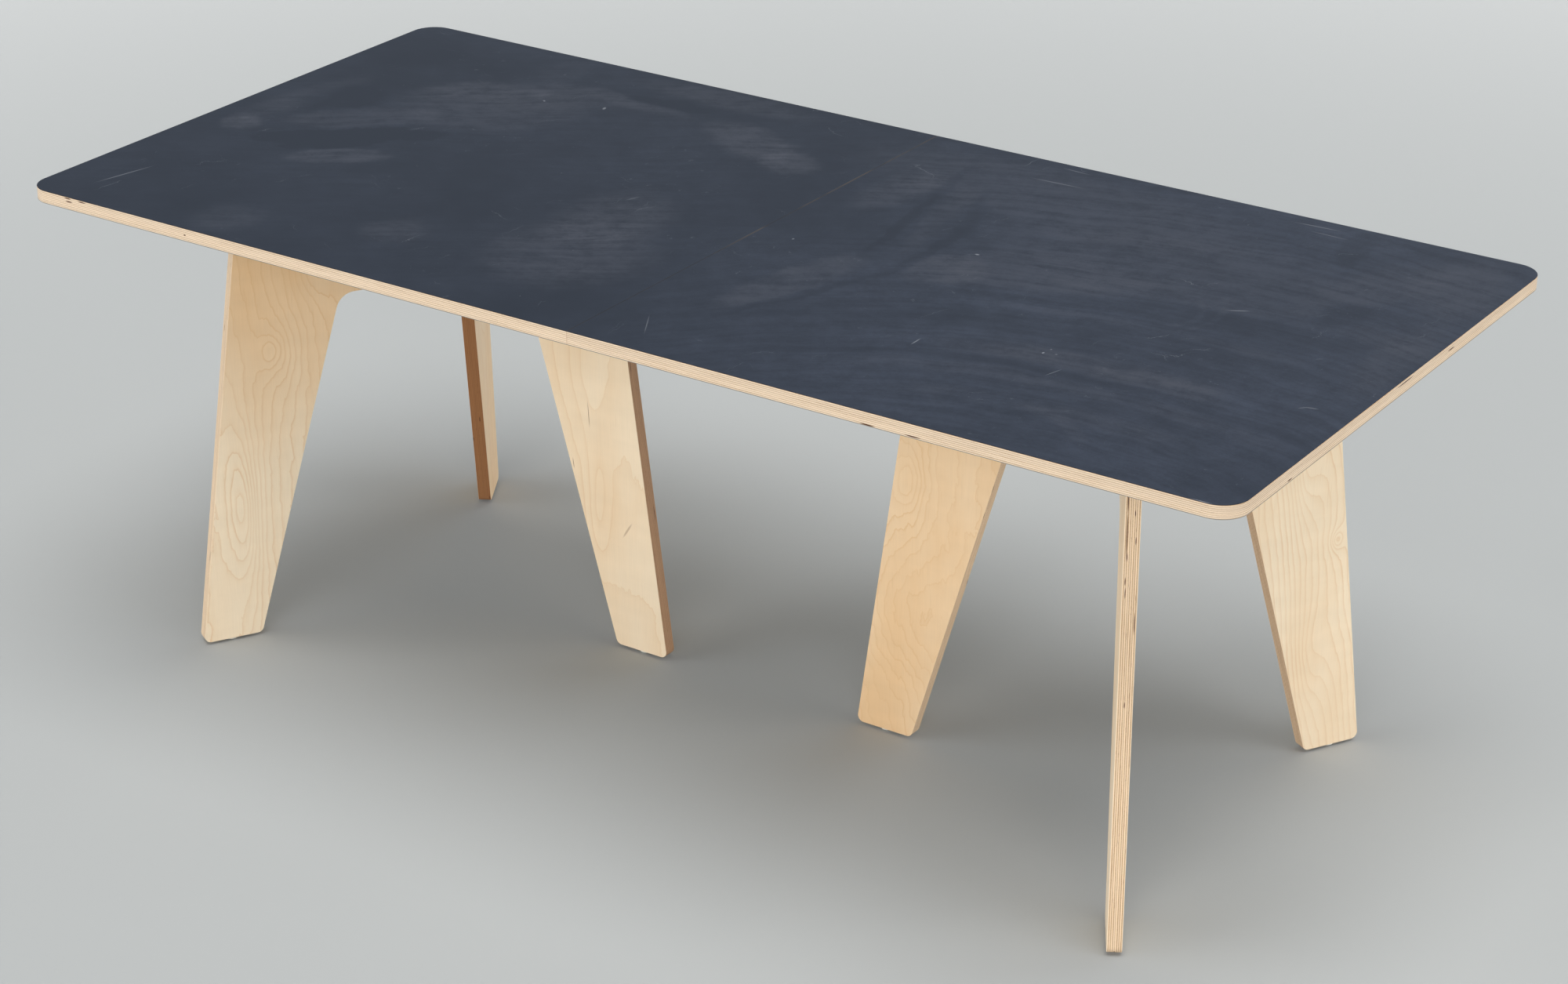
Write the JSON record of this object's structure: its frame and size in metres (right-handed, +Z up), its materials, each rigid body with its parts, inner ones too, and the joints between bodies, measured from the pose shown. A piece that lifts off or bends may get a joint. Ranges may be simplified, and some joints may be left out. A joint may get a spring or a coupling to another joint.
{
  "type": "table",
  "caption": "Long rectangular plywood table with a dark laminate top in two halves, on two bases of three splayed plywood leg panels.",
  "frame": {"origin": "on the floor under the middle of the seam between the two halves of the top", "axes": "+X along the table's length, +Y across it to the back, +Z up"},
  "size_m": [2, 0.95, 0.7546],
  "materials": {
    "birch_plywood": "clear matt lacquer on birch veneer, bare layered edges",
    "solid_birch": "clear matt lacquer",
    "dark_laminate": "matt dark blue-grey with faint wipe marks",
    "grey_backing": "matt grey balancing sheet",
    "zinc_plated_steel": "dull zinc plating",
    "nickel_plated_steel": "bright nickel plating"
  },
  "bodies": {
    "root": {"top_core_left": "birch_plywood", "top_core_right": "birch_plywood", "top_sheet_left": "dark_laminate", "top_sheet_right": "dark_laminate", "backing_left": "grey_backing", "backing_right": "grey_backing", "hub_left": "solid_birch", "hub_right": "solid_birch", "leg_panel_left_inner": "birch_plywood", "leg_panel_left_back": "birch_plywood", "leg_panel_left_front": "birch_plywood", "leg_panel_right_inner": "birch_plywood", "leg_panel_right_back": "birch_plywood", "leg_panel_right_front": "birch_plywood", "glide_left_inner": "nickel_plated_steel", "glide_left_back": "nickel_plated_steel", "glide_left_front": "nickel_plated_steel", "glide_right_inner": "nickel_plated_steel", "glide_right_back": "nickel_plated_steel", "glide_right_front": "nickel_plated_steel", "bracket_left_inner": "zinc_plated_steel", "bracket_left_back": "zinc_plated_steel", "bracket_left_front": "zinc_plated_steel", "bracket_right_inner": "zinc_plated_steel", "bracket_right_back": "zinc_plated_steel", "bracket_right_front": "zinc_plated_steel", "bracket_screw_left_inner_top_1": "zinc_plated_steel", "bracket_screw_left_inner_top_2": "zinc_plated_steel", "bracket_screw_left_inner_side": "zinc_plated_steel", "bracket_screw_left_back_top_1": "zinc_plated_steel", "bracket_screw_left_back_top_2": "zinc_plated_steel", "bracket_screw_left_back_side": "zinc_plated_steel", "bracket_screw_left_front_top_1": "zinc_plated_steel", "bracket_screw_left_front_top_2": "zinc_plated_steel", "bracket_screw_left_front_side": "zinc_plated_steel", "bracket_screw_right_inner_top_1": "zinc_plated_steel", "bracket_screw_right_inner_top_2": "zinc_plated_steel", "bracket_screw_right_inner_side": "zinc_plated_steel", "bracket_screw_right_back_top_1": "zinc_plated_steel", "bracket_screw_right_back_top_2": "zinc_plated_steel", "bracket_screw_right_back_side": "zinc_plated_steel", "bracket_screw_right_front_top_1": "zinc_plated_steel", "bracket_screw_right_front_top_2": "zinc_plated_steel", "bracket_screw_right_front_side": "zinc_plated_steel", "link_plate_front": "zinc_plated_steel", "link_plate_back": "zinc_plated_steel", "link_screw_front_1": "zinc_plated_steel", "link_screw_front_2": "zinc_plated_steel", "link_screw_front_3": "zinc_plated_steel", "link_screw_front_4": "zinc_plated_steel", "link_screw_back_1": "zinc_plated_steel", "link_screw_back_2": "zinc_plated_steel", "link_screw_back_3": "zinc_plated_steel", "link_screw_back_4": "zinc_plated_steel"}
  },
  "joints": []
}
